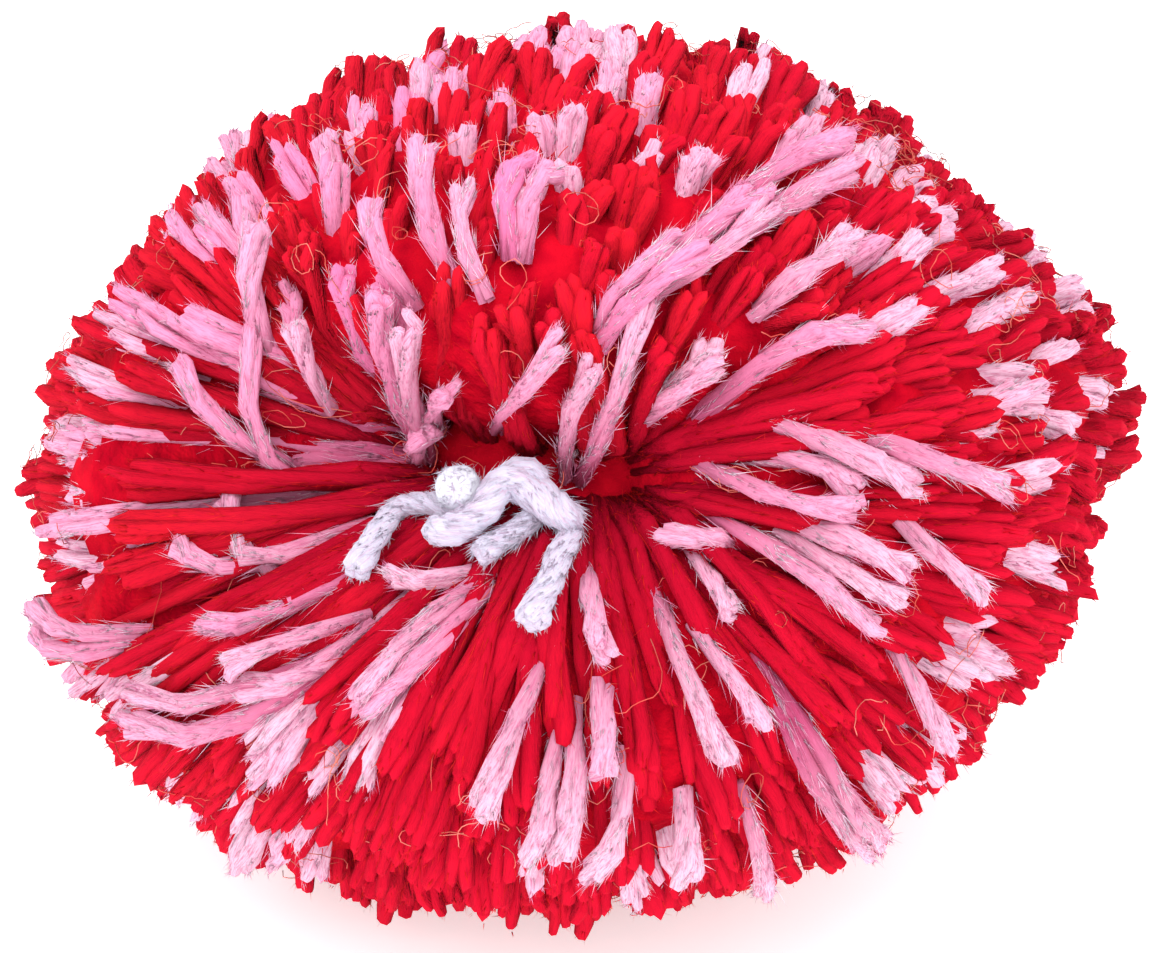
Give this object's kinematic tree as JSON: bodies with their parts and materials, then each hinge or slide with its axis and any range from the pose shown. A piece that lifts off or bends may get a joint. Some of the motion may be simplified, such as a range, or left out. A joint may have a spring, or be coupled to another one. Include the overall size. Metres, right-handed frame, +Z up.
{
  "type": "yarn pom pom",
  "caption": "Squashed round pom pom of cut red and white yarn, parted at the front where its knotted white yarn tie and short loose ends show.",
  "frame": {"origin": "on the surface that the pom pom rests on, under the middle of its bounding box", "axes": "+X to the right across its widest extent, +Y away from the parting and the tie, +Z up"},
  "size_m": [0.096, 0.0866, 0.0699],
  "materials": {
    "red_yarn": "fluffy matt acrylic yarn, bright red",
    "white_yarn": "fluffy matt acrylic yarn, cool white"
  },
  "bodies": {
    "root": {"pile": "red_yarn", "tie": "white_yarn"}
  },
  "joints": []
}
